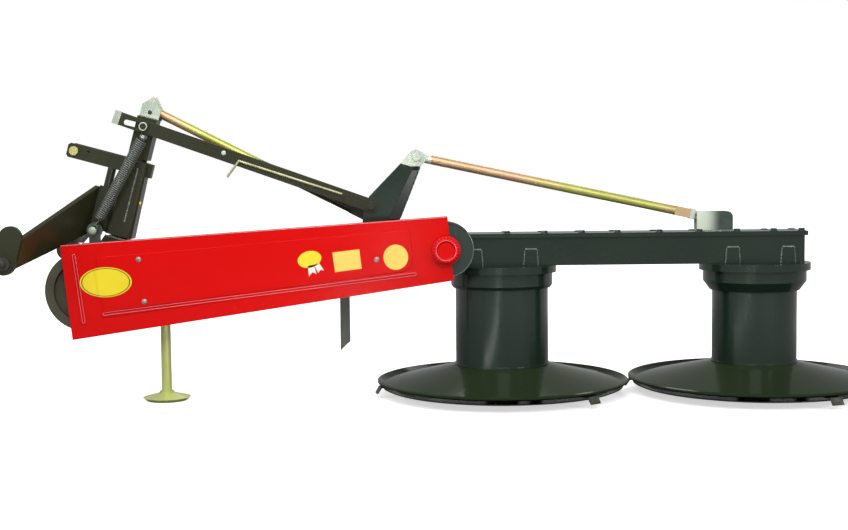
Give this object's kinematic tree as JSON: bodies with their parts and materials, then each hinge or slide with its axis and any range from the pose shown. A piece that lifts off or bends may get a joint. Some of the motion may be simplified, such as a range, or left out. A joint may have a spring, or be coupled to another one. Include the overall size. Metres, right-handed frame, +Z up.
{
  "type": "rear mounted drum mower",
  "caption": "Drum mower in transport position: twin drums under a cutter bar, belt drive under a red cover, spring balanced tower and three point hitch.",
  "frame": {"origin": "on the ground, under the middle of the machine's overall length and width", "axes": "+X along the cutter bar to its outer end, +Y to the drive shaft's side, +Z up"},
  "size_m": [3.0974, 1.004, 1.0928],
  "materials": {
    "green_paint": "dark green gloss paint",
    "olive_paint": "dark olive satin paint",
    "red_paint": "red gloss paint",
    "yellow_zinc": "yellow passivated zinc",
    "galvanised": "bright zinc",
    "bright_steel": "machined steel",
    "cast_iron": "dark cast iron",
    "belt_rubber": "black rubber",
    "spring_steel": "dark green paint",
    "knife_steel": "bare steel",
    "skid_steel": "dark green paint"
  },
  "bodies": {
    "carrier": {"input_housing": "olive_paint", "carrier_beam": "olive_paint", "pivot_fork": "green_paint", "pivot_tube": "green_paint", "pulley_guard": "green_paint", "drive_belts": "belt_rubber", "belt_cover": "red_paint", "cover_boss": "red_paint", "cover_brackets": "olive_paint", "upright": "green_paint", "upright_bolt": "galvanised", "strut": "olive_paint", "strut_bolt": "olive_paint", "lock_pin": "galvanised", "hook_rod": "yellow_zinc", "stand_sleeve": "olive_paint", "guard_post": "green_paint", "spring_bracket": "olive_paint"},
    "stand": {"stand_leg": "yellow_zinc", "stand_foot": "yellow_zinc"},
    "drive_rotor": {"drive_pulley": "cast_iron", "input_shaft": "bright_steel"},
    "driven_rotor": {"driven_pulley": "cast_iron"},
    "tower": {"tower_post": "olive_paint", "tower_cheeks": "olive_paint", "tower_cap": "galvanised", "slide_bolt": "olive_paint", "spring_peg": "galvanised"},
    "lock_link": {"lock_rod": "yellow_zinc"},
    "spring_link": {"balance_spring": "spring_steel"},
    "hitch": {"hitch_sleeve": "olive_paint", "hitch_leg_left": "olive_paint", "hitch_leg_right": "olive_paint", "link_lug_left": "olive_paint", "link_lug_right": "olive_paint", "link_pin_left": "bright_steel", "link_pin_right": "bright_steel", "top_link_ears": "olive_paint", "top_link_pin": "yellow_zinc", "hitch_stay": "olive_paint"},
    "cutter_bar": {"bar_case": "green_paint", "bar_lid": "green_paint", "collar_inner": "green_paint", "collar_outer": "green_paint", "rod_lug": "green_paint"},
    "pull_link": {"pull_rod": "yellow_zinc", "rod_clevis": "galvanised"},
    "inner_drum": {"drum_inner": "green_paint", "disc_inner": "green_paint", "knives_inner": "knife_steel"},
    "outer_drum": {"drum_outer": "green_paint", "disc_outer": "green_paint", "knives_outer": "knife_steel"},
    "inner_skid": {"skid_inner": "skid_steel"},
    "outer_skid": {"skid_outer": "skid_steel"}
  },
  "joints": [
    {"name": "cutter_tilt", "type": "hinge", "parent": "carrier", "child": "cutter_bar", "pos_m": [-0.03128, 0, 0.543], "axis": [0, -1, 0], "range_deg": [-3, 12]},
    {"name": "pull_rod_swing", "type": "hinge", "parent": "carrier", "child": "pull_link", "pos_m": [-0.13028, 0, 0.867], "axis": [0, -1, 0], "range_deg": [-2.6, 10.4]},
    {"name": "tower_float", "type": "hinge", "parent": "carrier", "child": "tower", "pos_m": [-1.28628, 0, 0.412], "axis": [0, -1, 0], "range_deg": [0, 6.1]},
    {"name": "transport_swing", "type": "hinge", "parent": "tower", "child": "hitch", "pos_m": [-1.21106, 0, 0.5884], "axis": [0.2639, 0, 0.9646], "range_deg": [-90, 0]},
    {"name": "lock_rod_swing", "type": "hinge", "parent": "tower", "child": "lock_link", "pos_m": [-1.07634, 0, 1.04297], "axis": [0, -1, 0], "range_deg": [-5.29, 0]},
    {"name": "spring_swing", "type": "hinge", "parent": "tower", "child": "spring_link", "pos_m": [-1.09899, -0.09, 0.94653], "axis": [0, -1, 0], "range_deg": [0, 3.06]},
    {"name": "stand_slide", "type": "slide", "parent": "carrier", "child": "stand", "axis": [0, 0, 1], "range_m": [0, 0.2]},
    {"name": "drive_pulley_spin", "type": "hinge", "parent": "carrier", "child": "drive_rotor", "pos_m": [-1.28628, 0, 0.412], "axis": [0, 1, 0], "continuous": true},
    {"name": "driven_pulley_spin", "type": "hinge", "parent": "carrier", "child": "driven_rotor", "pos_m": [-0.03128, 0, 0.543], "axis": [0, 1, 0], "continuous": true},
    {"name": "inner_drum_spin", "type": "hinge", "parent": "cutter_bar", "child": "inner_drum", "pos_m": [0.17372, 0, 0.3], "axis": [0, 0, 1], "continuous": true},
    {"name": "outer_drum_spin", "type": "hinge", "parent": "cutter_bar", "child": "outer_drum", "pos_m": [1.09372, 0, 0.3], "axis": [0, 0, 1], "continuous": true},
    {"name": "inner_skid_spin", "type": "hinge", "parent": "cutter_bar", "child": "inner_skid", "pos_m": [0.17372, 0, 0.05], "axis": [0, 0, 1], "continuous": true},
    {"name": "outer_skid_spin", "type": "hinge", "parent": "cutter_bar", "child": "outer_skid", "pos_m": [1.09372, 0, 0.05], "axis": [0, 0, 1], "continuous": true}
  ],
  "couplings": [
    {"joint": "pull_rod_swing", "follows": "cutter_tilt", "ratio": 0.86},
    {"joint": "lock_rod_swing", "follows": "tower_float", "ratio": -0.8575},
    {"joint": "spring_swing", "follows": "tower_float", "ratio": 0.4925},
    {"joint": "outer_drum_spin", "follows": "inner_drum_spin", "ratio": -1},
    {"joint": "driven_pulley_spin", "follows": "inner_drum_spin", "ratio": 0.6},
    {"joint": "drive_pulley_spin", "follows": "inner_drum_spin", "ratio": 0.3241}
  ]
}
